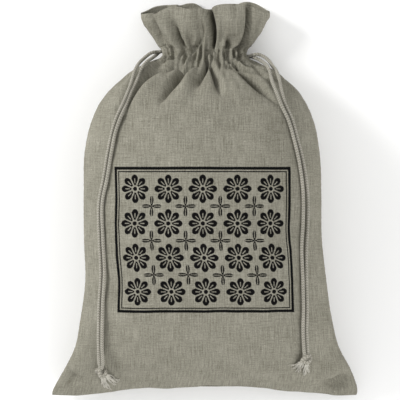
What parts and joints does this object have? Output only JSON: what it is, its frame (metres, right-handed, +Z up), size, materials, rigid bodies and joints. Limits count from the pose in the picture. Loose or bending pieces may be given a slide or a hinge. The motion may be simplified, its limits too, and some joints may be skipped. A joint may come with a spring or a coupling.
{
  "type": "drawstring bread bag",
  "caption": "Filled linen bag for bread, gathered under a deep ruffle by two braided drawstrings that hang down the front and end in frayed knots.",
  "frame": {"origin": "on the surface the bag lies on, under the middle of its outline", "axes": "+Z up out of the front of the bag, +Y along the bag towards its mouth, +X to the right seen from the front"},
  "size_m": [0.2988, 0.3826, 0.127],
  "materials": {
    "linen": "matt plain-woven undyed linen with slubs, a black printed motif on the front",
    "cotton_cord": "matt braided undyed cotton"
  },
  "bodies": {
    "root": {"front_panel": "linen", "back_panel": "linen", "left_cord_run": "cotton_cord", "right_cord_run": "cotton_cord", "left_outer_strand": "cotton_cord", "left_inner_strand": "cotton_cord", "right_outer_strand": "cotton_cord", "right_inner_strand": "cotton_cord", "left_knot": "cotton_cord", "right_knot": "cotton_cord"}
  },
  "joints": []
}
